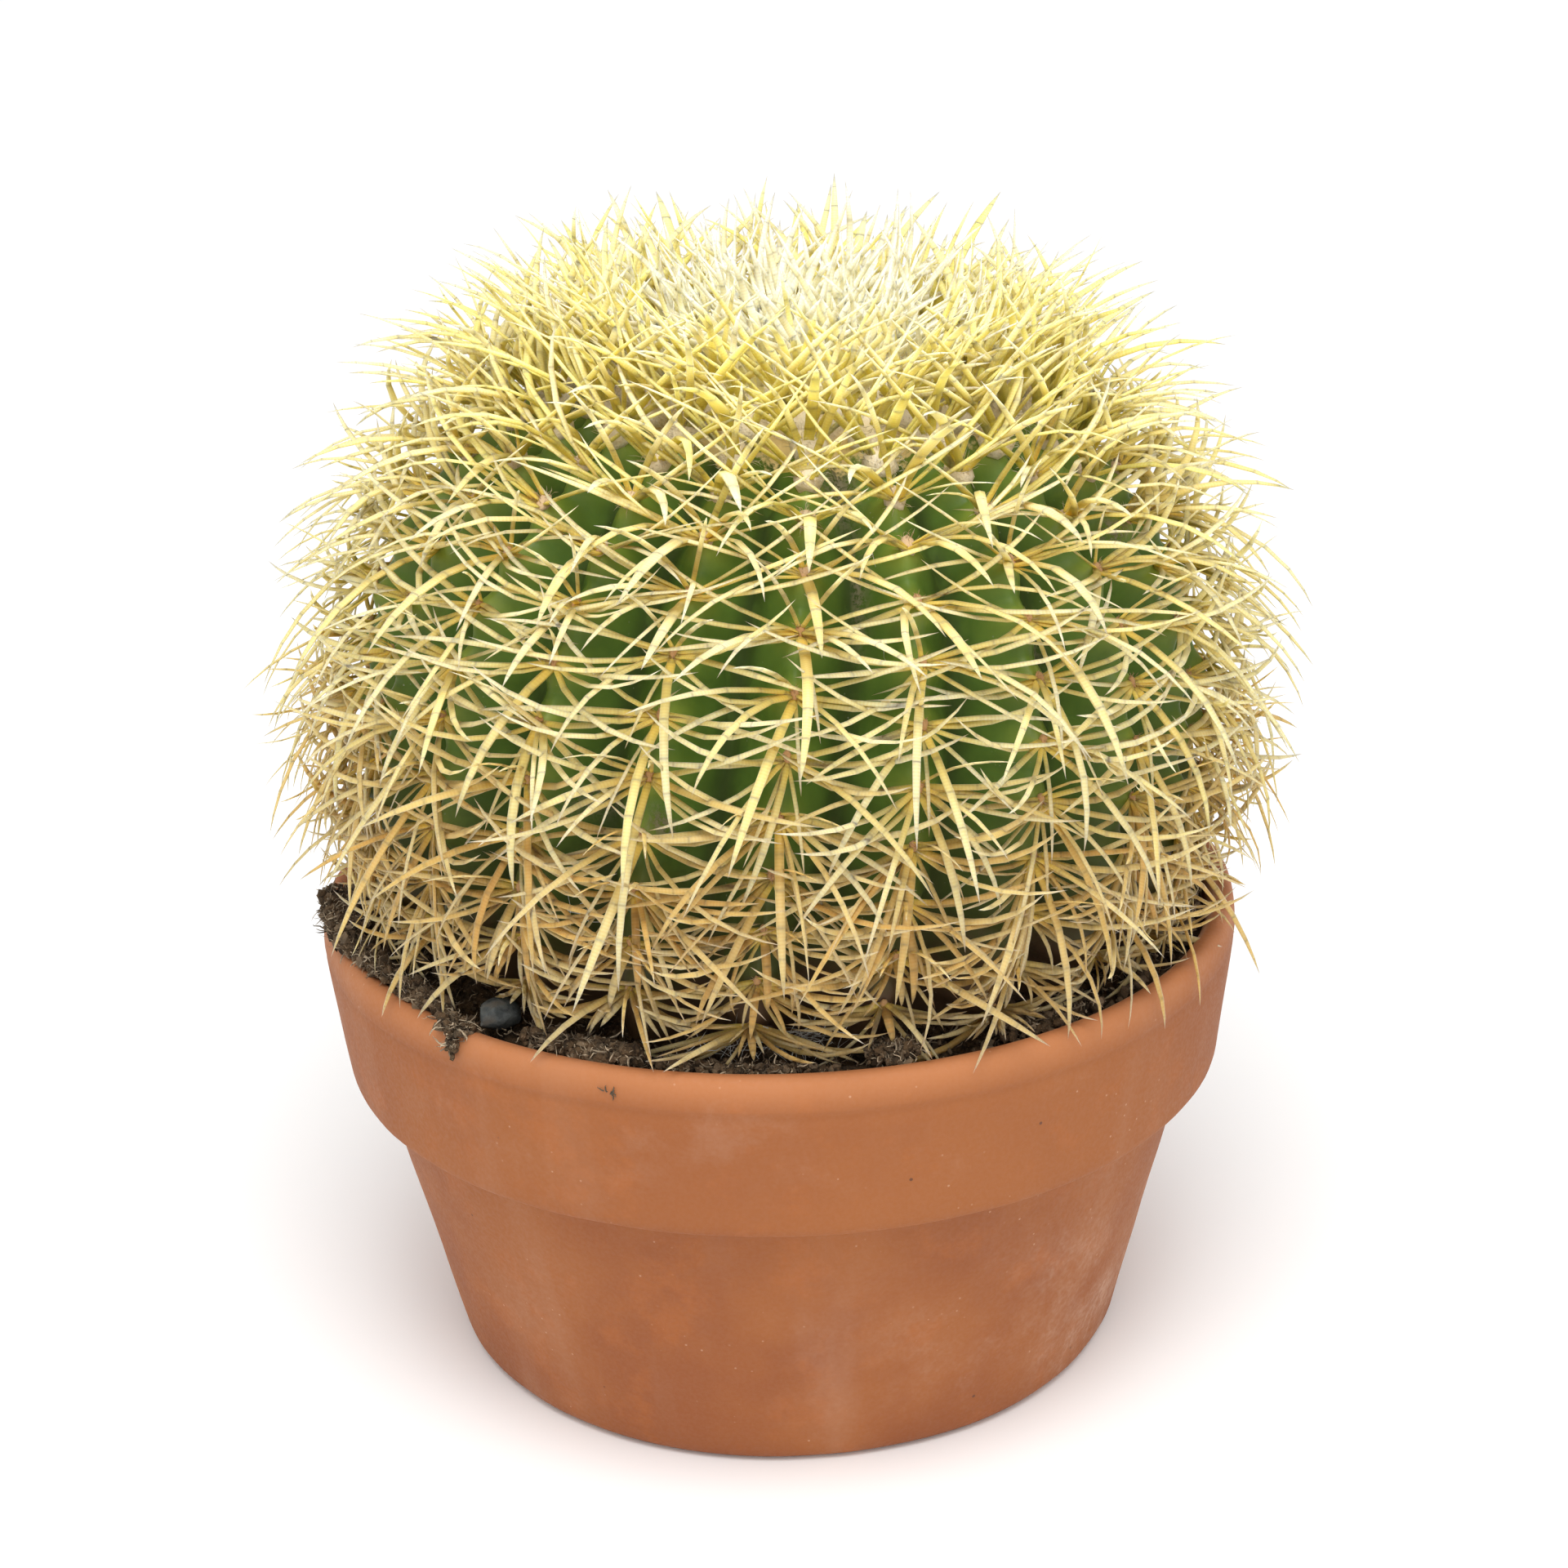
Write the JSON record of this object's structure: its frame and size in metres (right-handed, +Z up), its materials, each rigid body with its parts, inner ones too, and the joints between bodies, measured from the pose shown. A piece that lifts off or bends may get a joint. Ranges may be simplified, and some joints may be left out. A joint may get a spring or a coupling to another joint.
{
  "type": "potted round cactus",
  "caption": "Round ribbed cactus with long yellow spines and a woolly crown, in a wide banded terracotta pot filled with soil.",
  "frame": {"origin": "centre of the pot's base, on the surface it stands on", "axes": "+Z up along the pot's axis; -Y is the front that the picture shows; +X is to the right seen from the front"},
  "size_m": [0.3568, 0.3585, 0.388],
  "materials": {
    "terracotta": "matte",
    "soil": "matte",
    "pebble": "satin",
    "cactus_skin": "satin",
    "crown_wool": "matte"
  },
  "bodies": {
    "root": {"pot": "terracotta", "soil": "soil", "pebble": "pebble", "cactus": "cactus_skin", "crown": "crown_wool"}
  },
  "joints": []
}
